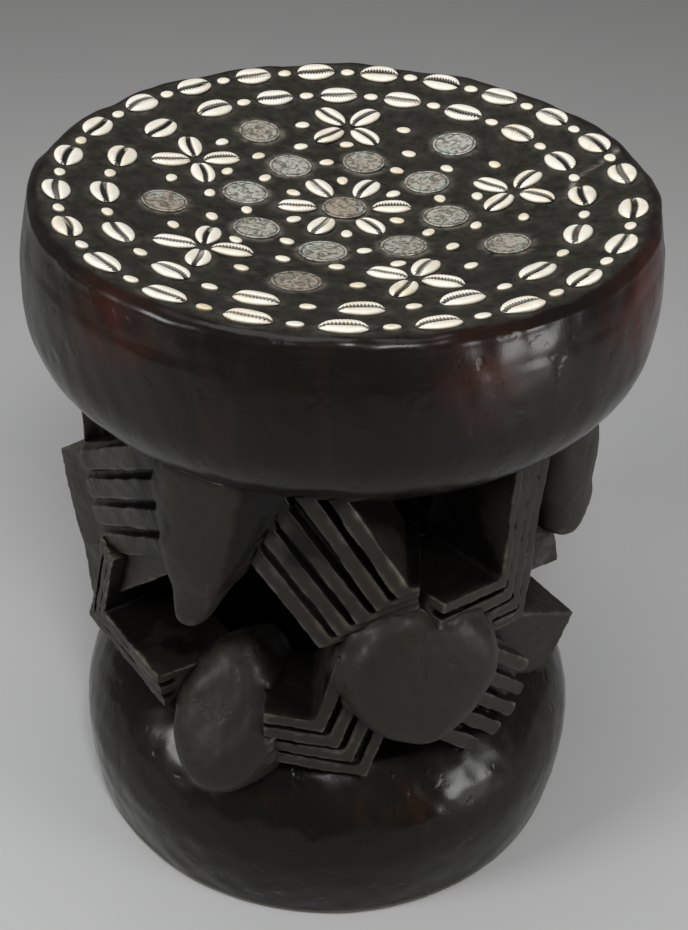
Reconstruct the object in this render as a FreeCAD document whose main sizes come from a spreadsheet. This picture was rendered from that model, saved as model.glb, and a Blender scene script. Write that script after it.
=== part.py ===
import FreeCAD, Part
import Sketcher
import math
import os

# A round carved stool: a thick dished seat inlaid with shells, coins and beads, a heavy rounded base,
# and between them an open wall of stylised earth spiders, with hanging bodies and packs of bent legs.
# The wall's front half is set out piece by piece. The back half is the same carving turned half round.
# Lengths are millimetres. Azimuths are degrees from the front (-Y), turning towards +X.

Vector = FreeCAD.Vector
UP = Vector(0, 0, 1)
UP_WALL = Vector(0, 1, 0)
FULL_TURN = 360.0
RING_POINTS = 20
HALF_TURN = FreeCAD.Placement(Vector(), FreeCAD.Rotation(UP, 180))

SIZES = {
    # Seat
    "stool_height": 421,
    "seat_radius": 175,
    "seat_bulge_height": 362,
    "seat_underside_height": 313,
    "seat_underside_radius": 135,
    "seat_rim_rounding": 7,
    "dish_radius": 161.5,
    "dish_depth": 19,
    # Base
    "base_height": 106.5,
    "base_radius": 164,
    "base_bulge_height": 44,
    "base_foot_radius": 159.5,
    "base_top_radius": 129,
    # Carved wall: its depth, and how far a carving runs into the seat before it is trimmed flush
    "wall_depth": 56,
    "carving_bite": 15,
    # Legs of the packs
    "leg_groove_share": 0.27,
    "leg_groove_depth": 11,
    "leg_step": 1.6,
    "bar_groove_width": 3.6,
    "bar_groove_depth": 12,
    "tail_width": 26,
    # Rounding of the bodies, from an oval at 2 towards a rectangle
    "hanging_squareness": 2.8,
    "abdomen_squareness": 1.85,
    # Hanging bodies: how late they narrow, and the depth left at the tip
    "hanging_taper_power": 1.35,
    "hanging_tip_depth_share": 0.48,
    # Neck wedge on the high spider's abdomen
    "neck_width": 22,
    "neck_reach": 50,
    "neck_setback": 24,
    "neck_root_share": 0.25,
    # Inlay pieces
    "inlay_clearance": 0.15,
    "shell_seat_depth": 3,
    "shell_rise": 2.4,
    "shell_slit_width": 3,
    "shell_slit_depth": 1.8,
    "shell_slit_share": 0.86,
    "dome_shoulder_share": 0.9,
    "dome_shoulder_rise": 0.55,
    "dome_crown_share": 0.5,
    "ring_shell_length": 24,
    "ring_shell_width": 16.5,
    "petal_shell_length": 22.5,
    "petal_shell_width": 14,
    "bead_seat_depth": 2,
    "bead_rise": 1.2,
    "bead_length": 9,
    "bead_width": 6.5,
    "coin_diameter": 25,
    "coin_thickness": 2,
    "coin_rise": 0.5,
    # Setting out of the inlay on the dish
    "outer_ring_radius": 151.5,
    "outer_ring_shells": 23,
    "outer_ring_start": 2,
    "outer_ring_drift": 3,
    "second_ring_radius": 127,
    "second_ring_shells": 18,
    "second_ring_start": 7,
    "second_ring_drift": 7,
    "ring_drift_middle": 0.5,
    "rosette_ring_radius": 93,
    "rosette_petal_reach": 14.5,
    "rosette_petals": 4,
    "rosette_azimuth_1": 22.5,
    "rosette_azimuth_2": 99.3,
    "rosette_azimuth_3": 180,
    "rosette_azimuth_4": 244.2,
    "rosette_azimuth_5": 311.2,
    "outer_coin_radius": 96,
    "coin_flank_radius": 73,
    "coin_flank_spread": 11,
    "inner_coin_radius": 55,
    "inner_coins": 8,
    "inner_coin_start": -10.5,
    "inner_bead_radius": 53,
    "centre_petal_radius": 25.5,
    "centre_petals": 6,
    "centre_petal_start": 33,
    "centre_bead_radius": 31.5,
}
ROSETTES = 5

# Gaps in the two rings, counted from the first shell, where the bead has been lost.
LOST_BEADS = {"outer_ring": [5], "second_ring": [11, 12]}

# Spider bodies that hang from the seat like teeth. drop is measured down from the seat's underside, flare is
# how far the tip stands out of the wall, and blunt is the share of the tip's section left at its end.
HANGING_BODIES = {
    "left_hanging_body": dict(
        azimuth=-24, radius=160, drop=95, width=78, tip_width=15, tip_shift=-15, flare=14, blunt=0.55),
    "right_hanging_body": dict(
        azimuth=71, radius=150, drop=78, width=70, tip_width=60, tip_shift=4, flare=20, blunt=0.8),
}
HANGING_STATIONS = [0, 0.3, 0.62, 0.86, 0.96, 1]

# Rounded abdomens. rise is the height of the middle above the base, taper narrows the top, and tilt leans it
# inwards. The stations pair a share of the wall's depth with the share of the full outline there.
ABDOMENS = {
    "high_abdomen": dict(azimuth=20, radius=166, rise=92.5, width=93, length=98, taper=-0.1, tilt=10),
    "low_abdomen": dict(azimuth=-24, radius=149, rise=45, width=68, length=101, taper=0.14, tilt=36),
}
ABDOMEN_STATIONS = [(-1, 0.84), (-0.6, 1), (-0.3, 0.98), (-0.12, 0.88), (-0.03, 0.7), (0, 0.45)]

# Packs of bent legs, nested about an inner knee. Sideways places are measured along the upright plane of
# the pack. One arm runs at arm_angle to the height arm_end above the base, or into the seat where that is 0.
# The other runs at foot_angle to the sideways place foot_end. The pitches space the legs across each arm.
BENT_PACKS = {
    "high_left_legs": dict(
        azimuth=0, radius=151, knee_side=41, knee_rise=157, arm_angle=122, arm_end=0, foot_angle=28,
        foot_end=47, legs=5, arm_pitch=14, foot_pitch=5),
    "high_right_legs": dict(
        azimuth=45, radius=150, knee_side=-20, knee_rise=139.5, arm_angle=88, arm_end=0, foot_angle=168,
        foot_end=-66, legs=4, arm_pitch=9.4, foot_pitch=12),
    "low_right_legs": dict(
        azimuth=0, radius=152, knee_side=-7, knee_rise=58, arm_angle=77, arm_end=107.5, foot_angle=170,
        foot_end=-35, legs=4, arm_pitch=11.6, foot_pitch=12.2),
    "low_left_legs": dict(
        azimuth=-56, radius=150, knee_side=-22, knee_rise=53.5, arm_angle=70, arm_end=110, foot_angle=6,
        foot_end=50, legs=3, arm_pitch=8, foot_pitch=10),
    "far_leg": dict(
        azimuth=35, radius=112, knee_side=57, knee_rise=9.5, arm_angle=252, arm_end=-25, foot_angle=155,
        foot_end=-20, legs=1, arm_pitch=61.6, foot_pitch=61.6),
}

# Packs of straight bars with rounded free ends on a backing slab. The first bar's free end is at end_side and
# end_rise above the base, bar_angle points to the free ends, bulge lets the middle bars reach further, skew
# lets each bar reach further than the one before, margin is the slab's width beyond the free ends, tail hangs
# the slab below the last bar, and droop leans the bars back towards their free ends.
BAR_PACKS = {
    "outer_left_legs": dict(
        azimuth=-50, radius=151, end_side=-58, end_rise=153.5, bar_angle=213, bar_length=112, bars=4,
        pitch=17, bulge=4, skew=6, margin=32, tail=32, droop=4.5),
    "rib_legs": dict(
        azimuth=45, radius=141, end_side=-9, end_rise=-7.5, bar_angle=-45, bar_length=100, bars=5, pitch=14,
        bulge=18, skew=0, margin=11, tail=0, droop=0),
    "side_legs": dict(
        azimuth=90, radius=147, end_side=-21, end_rise=107.5, bar_angle=-98, bar_length=140, bars=4, pitch=14,
        bulge=4, skew=0, margin=11, tail=0, droop=0),
}

# The carvings in the order in which they are cut: each gives way to those before it.
CARVING_ORDER = [
    "left_hanging_body", "right_hanging_body", "high_abdomen", "low_abdomen",
    "high_left_legs", "high_right_legs", "outer_left_legs", "low_right_legs",
    "far_leg", "rib_legs", "low_left_legs", "side_legs",
]

# The document, with every driving dimension in one sheet.
doc = FreeCAD.newDocument("carved_stool")
sheet = doc.addObject("Spreadsheet::Sheet", "Sizes")
all_sizes = dict(SIZES)
for group in (HANGING_BODIES, ABDOMENS, BENT_PACKS, BAR_PACKS):
    for carving, values in group.items():
        for key, value in values.items():
            all_sizes[carving + "_" + key] = value
for row, (alias, value) in enumerate(all_sizes.items(), start=1):
    sheet.set("A%d" % row, alias)
    sheet.set("B%d" % row, str(value))
    sheet.setAlias("B%d" % row, alias)
doc.recompute()


def size(alias):
    """The value of one driving dimension."""
    return float(sheet.get(alias))


def sizes_of(carving, keys):
    """Several driving dimensions of one carving."""
    return [size(carving + "_" + key) for key in keys.split()]


def along(degrees):
    """A unit direction in a plane, counted from its first axis."""
    angle = math.radians(degrees)
    return Vector(math.cos(angle), math.sin(angle), 0)


# Turned forms

def turned_body(label, corners, arc_centres):
    """A turned solid. corners are (radius, height) expressions, and arc_centres maps a side to its centre."""
    body = doc.addObject("PartDesign::Body", label)
    plane = [origin for origin in body.Origin.OriginFeatures if origin.Role == "XZ_Plane"][0]
    sketch = body.newObject("Sketcher::SketchObject", label + "_profile")
    sketch.AttachmentSupport = [(plane, "")]
    sketch.MapMode = "FlatFace"
    value = sketch.evalExpression
    points = [Vector(float(value(reach)), float(value(level)), 0) for reach, level in corners]
    ends = []
    for side, start in enumerate(points):
        end = points[(side + 1) % len(points)]
        if side in arc_centres:
            centre = Vector(*[float(value(place)) for place in arc_centres[side]], 0)
            ends.append(add_arc(sketch, centre, start, end))
        else:
            sketch.addGeometry(Part.LineSegment(start, end))
            ends.append((1, 2))
    for side in range(len(points)):
        after = (side + 1) % len(points)
        sketch.addConstraint(Sketcher.Constraint("Coincident", side, ends[side][1], after, ends[after][0]))
    for side, places in enumerate(corners):
        fix_point(sketch, side, ends[side][0], "corner%d" % side, places)
    for side, (reach, level) in arc_centres.items():
        rise = Sketcher.Constraint("DistanceY", -1, 1, side, 3, float(value(level)))
        bind(sketch, rise, "arc%d" % side, level)
    turning = body.newObject("PartDesign::Revolution", label + "_turning")
    turning.Profile = sketch
    turning.ReferenceAxis = (sketch, ["V_Axis"])
    turning.Angle = FULL_TURN
    doc.recompute()
    return body


def add_arc(sketch, centre, start, end):
    """Adds the short arc from start to end and tells which of its two ends is which."""
    angles = [math.atan2(point.y - centre.y, point.x - centre.x) for point in (start, end)]
    circle = Part.Circle(centre, UP, start.distanceToPoint(centre))
    sketch.addGeometry(Part.ArcOfCircle(circle, min(angles), max(angles)))
    return (1, 2) if angles[0] < angles[1] else (2, 1)


def fix_point(sketch, side, end, name, places):
    """Ties one end of a side to its radius and height."""
    for kind, place in zip(("DistanceX", "DistanceY"), places):
        number = float(sketch.evalExpression(place))
        bind(sketch, Sketcher.Constraint(kind, -1, 1, side, end, number), name + kind, place)


def bind(sketch, constraint, name, expression):
    """Adds a named constraint whose value follows the sheet."""
    index = sketch.addConstraint(constraint)
    sketch.renameConstraint(index, name)
    sketch.setExpression("Constraints." + name, expression)


def round_centre(reach, level, far_reach, far_level):
    """Radius of an arc's centre. The centre lies level with the arc's first end."""
    across = "(%s - (%s))" % (reach, far_reach)
    along_height = "(%s - (%s))" % (level, far_level)
    return "%s - (%s^2 + %s^2) / (2 * %s)" % (reach, across, along_height, across)


def seat_blank():
    """The seat as it leaves the adze, without its inlay pockets."""
    top, bulge = "Sizes.stool_height", "Sizes.seat_bulge_height"
    rounding, rim = "Sizes.seat_rim_rounding", "Sizes.dish_radius"
    widest, lowest = "Sizes.seat_radius", "Sizes.seat_underside_height"
    edge_reach = "%s + %s" % (rim, rounding)
    edge_level = "%s - %s" % (top, rounding)
    corners = [
        ("0", "%s - Sizes.dish_depth" % top),
        (rim, top),
        (edge_reach, edge_level),
        (widest, bulge),
        ("Sizes.seat_underside_radius", lowest),
        ("0", lowest),
    ]
    dish_centre = "%s + (%s^2 - Sizes.dish_depth^2) / (2 * Sizes.dish_depth)" % (top, rim)
    arcs = {
        0: ("0", dish_centre),
        1: (rim, edge_level),
        2: (round_centre(widest, bulge, edge_reach, edge_level), bulge),
        3: (round_centre(widest, bulge, "Sizes.seat_underside_radius", lowest), bulge),
    }
    return turned_body("seat_blank", corners, arcs)


def base_body():
    """The heavy rounded base."""
    widest, bulge, top = "Sizes.base_radius", "Sizes.base_bulge_height", "Sizes.base_height"
    corners = [
        ("0", "0"),
        ("Sizes.base_foot_radius", "0"),
        (widest, bulge),
        ("Sizes.base_top_radius", top),
        ("0", top),
    ]
    arcs = {
        1: (round_centre(widest, bulge, "Sizes.base_foot_radius", "0"), bulge),
        2: (round_centre(widest, bulge, "Sizes.base_top_radius", top), bulge),
    }
    return turned_body("base", corners, arcs)


# Carved wall

def wall_frame(azimuth, radius, height, tilt):
    """Placement whose first axis runs sideways, second up and third out of the wall."""
    place = along(azimuth - 90) * radius + UP * height
    return FreeCAD.Placement(place, FreeCAD.Rotation(azimuth, 0, 90 - tilt))


def prism(points, back, front):
    """An upright prism on a polygon, from one depth to another."""
    corners = [Vector(point.x, point.y, back) for point in points]
    face = Part.Face(Part.makePolygon(corners + corners[:1]))
    return face.extrude(Vector(0, 0, front - back))


def joined(solids):
    """One solid from several that overlap."""
    return solids[0].fuse(solids[1:]).removeSplitter()


def rounded_ring(middle, first, second, squareness, taper):
    """A smooth curve on two half axes, between an ellipse and a rectangle, narrowing along the second."""
    points = []
    for step in range(RING_POINTS):
        direction = along(FULL_TURN * step / RING_POINTS)
        cosine, sine = direction.x, direction.y
        swell = (abs(cosine) ** squareness + abs(sine) ** squareness) ** (-1 / squareness)
        points.append(middle + first * (cosine * swell * (1 - taper * sine)) + second * (sine * swell))
    curve = Part.BSplineCurve()
    curve.interpolate(points, PeriodicFlag=True)
    return Part.Wire(curve.toShape())


def hanging_body(carving):
    """A spider's body that hangs from the seat and tapers to a tip."""
    azimuth, radius, drop, width, tip_width, tip_shift, flare, blunt = sizes_of(
        carving, "azimuth radius drop width tip_width tip_shift flare blunt")
    depth, tip_depth = size("wall_depth"), size("hanging_tip_depth_share")
    rings = []
    for share in [-size("carving_bite") / drop] + HANGING_STATIONS:
        reach = max(share, 0)
        narrowing = reach ** size("hanging_taper_power")
        end = blunt if share == HANGING_STATIONS[-1] else 1
        half_width = end * (width + (tip_width - width) * narrowing) / 2
        half_depth = end * depth * (1 + (tip_depth - 1) * narrowing) / 2
        middle = Vector(tip_shift * reach, -drop * share, flare * reach - depth / 2)
        first, second = Vector(half_width, 0, 0), Vector(0, 0, half_depth)
        rings.append(rounded_ring(middle, first, second, size("hanging_squareness"), 0))
    solid = Part.makeLoft(rings, True)
    solid.Placement = wall_frame(azimuth, radius, size("seat_underside_height"), 0)
    return solid


def abdomen(carving):
    """A rounded-square abdomen that swells out of the wall."""
    azimuth, radius, rise, width, length, taper, tilt = sizes_of(
        carving, "azimuth radius rise width length taper tilt")
    depth = size("wall_depth")
    rings = []
    for share, scale in ABDOMEN_STATIONS:
        middle = Vector(0, 0, depth * share)
        half_width, half_length = Vector(width * scale / 2, 0, 0), Vector(0, length * scale / 2, 0)
        rings.append(rounded_ring(middle, half_width, half_length, size("abdomen_squareness"), taper))
    solid = Part.makeLoft(rings, True)
    if carving == "high_abdomen":
        solid = joined([solid, neck(length)])
    solid.Placement = wall_frame(azimuth, radius, size("base_height") + rise, tilt)
    return solid


def neck(length):
    """The wedge that joins the high abdomen to its legs, with a slanting front."""
    depth, setback, half = size("wall_depth"), size("neck_setback"), size("neck_width") / 2
    root, reach = size("neck_root_share"), size("neck_reach")
    start = length * root
    profile = [(start, -setback * root), (reach, -setback), (reach, -depth), (start, -depth)]
    corners = [Vector(-half, height, out) for height, out in profile]
    return Part.Face(Part.makePolygon(corners + corners[:1])).extrude(Vector(2 * half, 0, 0))


def bent_pack(carving):
    """Nested legs, each bent at its knee, standing out of a block by the depth of the grooves."""
    azimuth, radius, side, rise = sizes_of(carving, "azimuth radius knee_side knee_rise")
    arm_angle, arm_end, foot_angle, foot_end = sizes_of(carving, "arm_angle arm_end foot_angle foot_end")
    legs, arm_pitch, foot_pitch = sizes_of(carving, "legs arm_pitch foot_pitch")
    base = size("base_height")
    level = base + arm_end if arm_end else size("seat_underside_height") + size("carving_bite")
    arm, foot = along(arm_angle), along(foot_angle)
    spread = abs(math.sin(math.radians(foot_angle - arm_angle)))

    def chevron(count):
        """Knee and arm ends of the line that lies this many legs out from the inner knee."""
        knee = Vector(side, base + rise, 0) - (foot * arm_pitch + arm * foot_pitch) * (count / spread)
        return [knee + arm * ((level - knee.y) / arm.y), knee, knee + foot * ((foot_end - knee.x) / foot.x)]

    def band(inner, outer):
        return chevron(inner) + chevron(outer)[::-1]

    depth, groove = size("wall_depth"), size("leg_groove_depth")
    leg_share = 1 - size("leg_groove_share")
    last = int(legs) - 1
    solids = [prism(band(0, last + leg_share), -depth, -groove)]
    for leg in range(int(legs)):
        solids.append(prism(band(leg, leg + leg_share), -depth / 2, -leg * size("leg_step")))
    solid = joined(solids)
    solid.Placement = wall_frame(azimuth, radius, 0, 0)
    return solid


def bar_pack(carving):
    """Straight legs with rounded free ends, side by side on a backing slab."""
    azimuth, radius, side, rise = sizes_of(carving, "azimuth radius end_side end_rise")
    angle, length, bars, pitch = sizes_of(carving, "bar_angle bar_length bars pitch")
    bulge, skew, margin, tail, droop = sizes_of(carving, "bulge skew margin tail droop")
    forward, across = along(angle), along(angle + 90)
    first_end = Vector(side, size("base_height") + rise, 0)
    middle = (bars - 1) / 2
    half = (pitch - size("bar_groove_width")) / 2
    depth, groove = size("wall_depth"), size("bar_groove_depth")

    def free_end(bar):
        reach = skew * bar + bulge * (1 - ((bar - middle) / middle) ** 2)
        return first_end + across * (bar * pitch) + forward * reach

    root = first_end - forward * length
    edge = [free_end(bar) + forward * margin for bar in range(int(bars))]
    beside = across * (pitch / 2)
    outline = [root - beside, edge[0] - beside] + edge[1:]
    if tail:
        outline.append(edge[-1] + beside - UP_WALL * tail)
    outline.append(edge[-1] + beside - forward * size("tail_width") - UP_WALL * tail)
    outline.append(root + across * (bars * pitch) - beside)
    solids = [prism(outline, -depth, -groove)]
    for bar in range(int(bars)):
        end = free_end(bar) - forward * half
        start = root + across * (bar * pitch)
        sides = [start + across * half, start - across * half, end - across * half, end + across * half]
        arc = Part.Arc(sides[2], end + forward * half, sides[3]).toShape()
        straight = Part.makePolygon([sides[3], sides[0], sides[1], sides[2]])
        face = Part.Face(Part.Wire(straight.Edges + [arc]))
        stick = face.extrude(Vector(0, 0, depth / 2)).translated(Vector(0, 0, -depth / 2))
        solids.append(stick.rotated(root, across, droop))
    solid = joined(solids)
    solid.Placement = wall_frame(azimuth, radius, 0, 0)
    return solid


def raw_carving(carving):
    """The whole form of a carving, before its neighbours are taken out of it."""
    if carving in HANGING_BODIES:
        return hanging_body(carving)
    if carving in ABDOMENS:
        return abdomen(carving)
    if carving in BENT_PACKS:
        return bent_pack(carving)
    return bar_pack(carving)


def turned_half_round(shape):
    """A copy of a shape on the other side of the stool."""
    copy = shape.copy()
    copy.Placement = HALF_TURN.multiply(copy.Placement)
    return copy


def carve_wall(seat, base):
    """The carvings of the front half, each flush with the seat, the base and the carvings before it."""
    taken = [seat.Shape, base.Shape]
    pieces = {}
    for carving in CARVING_ORDER:
        solid = raw_carving(carving)
        for neighbour in taken:
            if solid.BoundBox.intersect(neighbour.BoundBox):
                solid = solid.cut(neighbour)
        largest = max(solid.Solids, key=lambda part: part.Volume)
        pieces[carving] = largest
        taken += [largest, turned_half_round(largest)]
    return pieces


# Inlay

def dish_curve():
    """Radius of the dish's hollow."""
    rim, depth = size("dish_radius"), size("dish_depth")
    return (rim ** 2 + depth ** 2) / (2 * depth)


def on_dish(radius, azimuth, turn):
    """Placement on the dish. Its first axis runs round the seat, turned by turn degrees."""
    curve = dish_curve()
    lean = math.asin(radius / curve)
    height = size("stool_height") - size("dish_depth") + curve * (1 - math.cos(lean))
    place = along(azimuth - 90) * radius + UP * height
    seat_turn = FreeCAD.Rotation(azimuth, 0, -math.degrees(lean))
    return FreeCAD.Placement(place, seat_turn.multiply(FreeCAD.Rotation(UP, turn)))


def oval(label, length, width, share, height):
    """One oval section of an inlay piece, bound to its sizes."""
    section = doc.addObject("Part::Ellipse", label)
    section.setExpression("MajorRadius", "Sizes.%s / 2 * %s" % (length, share))
    section.setExpression("MinorRadius", "Sizes.%s / 2 * %s" % (width, share))
    section.setExpression("Placement.Base.z", height)
    return section


def oval_dome(label, length, width, sink, rise):
    """A low oval dome with a straight foot that sits in its pocket."""
    levels = [
        ("1", "-Sizes." + sink),
        ("1", "0"),
        ("Sizes.dome_shoulder_share", "Sizes.dome_shoulder_rise * Sizes." + rise),
        ("Sizes.dome_crown_share", "Sizes." + rise),
    ]
    dome = doc.addObject("Part::Loft", label)
    dome.Sections = [
        oval("%s_section_%d" % (label, place), length, width, share, height)
        for place, (share, height) in enumerate(levels)]
    dome.Solid = True
    return dome


def cowrie(label, length, width):
    """A cowrie set mouth up: an oval dome with a long slit."""
    dome = oval_dome(label + "_dome", length, width, "shell_seat_depth", "shell_rise")
    slit = doc.addObject("Part::Box", label + "_slit")
    slit_length = "Sizes.%s * Sizes.shell_slit_share" % length
    slit.setExpression("Length", slit_length)
    slit.setExpression("Width", "Sizes.shell_slit_width")
    slit.setExpression("Height", "Sizes.shell_slit_depth * 2")
    slit.setExpression("Placement.Base.x", "-%s / 2" % slit_length)
    slit.setExpression("Placement.Base.y", "-Sizes.shell_slit_width / 2")
    slit.setExpression("Placement.Base.z", "Sizes.shell_rise - Sizes.shell_slit_depth")
    shell = doc.addObject("Part::Cut", label)
    shell.Base = dome
    shell.Tool = slit
    doc.recompute()
    return shell


def pocket(length, width, depth):
    """The tool that cuts an oval pocket, its clearance all round, with its floor at the given depth."""
    gap = size("inlay_clearance")
    ring = Part.Ellipse(Vector(0, 0, -depth), length / 2 + gap, width / 2 + gap).toShape()
    return Part.Face(Part.Wire(ring)).extrude(Vector(0, 0, depth + 2 * size("shell_rise")))


def place_copies(shape, places):
    """Copies of a shape at several places."""
    copies = []
    for place in places:
        copy = shape.copy()
        copy.Placement = place.multiply(copy.Placement)
        copies.append(copy)
    return copies


def even_azimuths(start, count):
    """Evenly spaced azimuths."""
    return [start + FULL_TURN * step / count for step in range(int(count))]


def ring_azimuths(ring):
    """Azimuths round one shell ring, closer on one side where the setter's spacing drifted."""
    drift, middle = size(ring + "_drift"), size("ring_drift_middle")
    even = even_azimuths(size(ring + "_start"), size(ring + "_shells"))
    return [azimuth + drift * (math.sin(math.radians(azimuth)) - middle) for azimuth in even]


def bead_azimuths(ring, shell_azimuths):
    """Azimuths of the beads between the shells of one ring, without those that have been lost."""
    return [place for gap, place in enumerate(between(shell_azimuths)) if gap not in LOST_BEADS[ring]]


def between(azimuths):
    """Azimuths half-way from each to the next."""
    following = azimuths[1:] + [azimuths[0] + FULL_TURN]
    return [(here + there) / 2 for here, there in zip(azimuths, following)]


def ring_places(radius, azimuths, turn):
    """Places on the dish round one circle."""
    return [on_dish(size(radius), azimuth, turn) for azimuth in azimuths]


def petal_places(azimuth):
    """Places of the petals of one rosette, each pointing at its middle."""
    middle = along(azimuth - 90) * size("rosette_ring_radius")
    count = int(size("rosette_petals"))
    places = []
    for petal in range(count):
        heading = azimuth - 90 + FULL_TURN * (petal + 0.5) / count
        spot = middle + along(heading) * size("rosette_petal_reach")
        spot_azimuth = math.degrees(math.atan2(spot.y, spot.x)) + 90
        places.append(on_dish(spot.Length, spot_azimuth, heading - spot_azimuth))
    return places


def add_group(label, solids):
    """A node that holds several loose solids of one kind."""
    node = doc.addObject("Part::Feature", label)
    node.Shape = Part.makeCompound(solids)
    return node


def add_coin(label, place):
    """One coin, pressed into the wood until only its rise stands proud."""
    coin = doc.addObject("Part::Cylinder", label)
    coin.setExpression("Radius", "Sizes.coin_diameter / 2")
    coin.setExpression("Height", "Sizes.coin_thickness")
    sink = FreeCAD.Placement(Vector(0, 0, size("coin_rise") - size("coin_thickness")), FreeCAD.Rotation())
    coin.Placement = place.multiply(sink)
    return coin


def inlay():
    """Every inlay node, and the pockets that hold them."""
    ring_shell = cowrie("ring_cowrie", "ring_shell_length", "ring_shell_width")
    petal_shell = cowrie("petal_cowrie", "petal_shell_length", "petal_shell_width")
    bead = oval_dome("bead", "bead_length", "bead_width", "bead_seat_depth", "bead_rise")
    doc.recompute()

    rosette_at = [size("rosette_azimuth_%d" % (number + 1)) for number in range(ROSETTES)]
    outer_coin_at = between(rosette_at)
    beside_rosettes = between(sorted(rosette_at + outer_coin_at))
    outer_at, second_at = ring_azimuths("outer_ring"), ring_azimuths("second_ring")
    inner_coin_at = even_azimuths(size("inner_coin_start"), size("inner_coins"))
    centre_petal_at = even_azimuths(size("centre_petal_start"), size("centre_petals"))
    spread = size("coin_flank_spread")
    flank_at = [azimuth + offset for azimuth in outer_coin_at for offset in (-spread, spread)] + rosette_at

    shell_groups = {
        "outer_shell_ring": (ring_shell, ring_places("outer_ring_radius", outer_at, 0)),
        "second_shell_ring": (ring_shell, ring_places("second_ring_radius", second_at, 0)),
        "centre_rosette": (petal_shell, ring_places("centre_petal_radius", centre_petal_at, 90)),
    }
    for number, azimuth in enumerate(rosette_at, start=1):
        shell_groups["rosette_%d" % number] = (petal_shell, petal_places(azimuth))
    bead_groups = {
        "outer_ring_beads": ring_places("outer_ring_radius", bead_azimuths("outer_ring", outer_at), 0),
        "second_ring_beads": ring_places("second_ring_radius", bead_azimuths("second_ring", second_at), 0),
        "rosette_ring_beads": ring_places("outer_coin_radius", beside_rosettes, 0),
        "coin_flank_beads": ring_places("coin_flank_radius", flank_at, 0),
        "inner_coin_beads": ring_places("inner_bead_radius", between(inner_coin_at), 0),
        "centre_beads": ring_places("centre_bead_radius", between(centre_petal_at), 90),
    }
    coin_places = {"centre_coin": on_dish(0, 0, 0)}
    for number, place in enumerate(ring_places("inner_coin_radius", inner_coin_at, 0), start=1):
        coin_places["inner_coin_%d" % number] = place
    for number, place in enumerate(ring_places("outer_coin_radius", outer_coin_at, 0), start=1):
        coin_places["outer_coin_%d" % number] = place

    nodes = []
    pockets = []
    pocket_of = {
        ring_shell: pocket(size("ring_shell_length"), size("ring_shell_width"), size("shell_seat_depth")),
        petal_shell: pocket(size("petal_shell_length"), size("petal_shell_width"), size("shell_seat_depth")),
    }
    for label, (shell, places) in shell_groups.items():
        nodes.append(add_group(label, place_copies(shell.Shape, places)))
        pockets += place_copies(pocket_of[shell], places)
    bead_pocket = pocket(size("bead_length"), size("bead_width"), size("bead_seat_depth"))
    for label, places in bead_groups.items():
        nodes.append(add_group(label, place_copies(bead.Shape, places)))
        pockets += place_copies(bead_pocket, places)
    coin, coin_sink = size("coin_diameter"), size("coin_thickness") - size("coin_rise")
    coin_pocket = pocket(coin, coin, coin_sink)
    for label, place in coin_places.items():
        nodes.append(add_coin(label, place))
    pockets += place_copies(coin_pocket, coin_places.values())
    return nodes, pockets


# Assembly

blank = seat_blank()
base = base_body()
nodes = [base]
for carving, solid in carve_wall(blank, base).items():
    front = doc.addObject("Part::Feature", "front_" + carving)
    front.Shape = solid
    back = doc.addObject("Part::Feature", "back_" + carving)
    back.Shape = turned_half_round(solid)
    nodes += [front, back]

inlay_nodes, pocket_solids = inlay()
pockets = add_group("inlay_pockets", pocket_solids)
seat = doc.addObject("Part::Cut", "seat")
seat.Base = blank
seat.Tool = pockets
nodes += [seat] + inlay_nodes
doc.recompute()

# Nothing is written unless every piece came out whole.
for item in doc.Objects:
    if "Invalid" in item.State or "Error" in item.State:
        raise RuntimeError(item.Label + " did not recompute")
for node in nodes:
    if node.Shape.isNull() or not node.Shape.isValid() or not node.Shape.Solids:
        raise RuntimeError(node.Label + " is not a valid solid")

os.makedirs("parts", exist_ok=True)
for node in nodes:
    node.Shape.exportStep("parts/%s.step" % node.Label)
print(len(nodes), "pieces written")
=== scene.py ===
# %% [markdown]
# # A carved stool with an inlaid seat
# The real stool is cut from one log: a dished seat, a heavy base, and between them an open wall of stylised
# earth spiders. Cowrie shells, cut shell beads and worn coins are let into the seat.
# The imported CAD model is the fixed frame. Every piece below is made around it, in metres, in the same place.

# %% Load the frame
import math

import bmesh
import bpy
import numpy as np
from mathutils import Matrix, Vector
from mathutils.bvhtree import BVHTree


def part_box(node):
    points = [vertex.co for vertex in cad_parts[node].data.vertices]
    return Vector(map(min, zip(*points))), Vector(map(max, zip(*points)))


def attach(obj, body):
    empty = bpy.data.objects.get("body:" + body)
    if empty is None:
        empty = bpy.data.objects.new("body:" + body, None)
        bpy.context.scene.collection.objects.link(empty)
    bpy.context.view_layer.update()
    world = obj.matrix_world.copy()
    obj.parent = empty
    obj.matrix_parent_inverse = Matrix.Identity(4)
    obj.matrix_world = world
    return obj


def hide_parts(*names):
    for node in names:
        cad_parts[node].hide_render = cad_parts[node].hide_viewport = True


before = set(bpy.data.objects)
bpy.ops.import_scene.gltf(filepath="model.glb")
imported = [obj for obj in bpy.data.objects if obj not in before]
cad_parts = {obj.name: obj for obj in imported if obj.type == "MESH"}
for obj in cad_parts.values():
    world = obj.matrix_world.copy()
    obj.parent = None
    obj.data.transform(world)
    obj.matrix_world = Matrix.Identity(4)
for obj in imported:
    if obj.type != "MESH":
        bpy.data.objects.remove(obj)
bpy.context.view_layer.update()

MM = 0.001

# %% [markdown]
# ## Small tools for shaders
# A maker writes colours as sRGB hex values, but Blender's shaders work in linear light, so one function turns
# them over. Another adds a node, sets its options, and fills or links its inputs. A third lays colours over
# each other like coats, which keeps every material below to a few readable lines.

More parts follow.
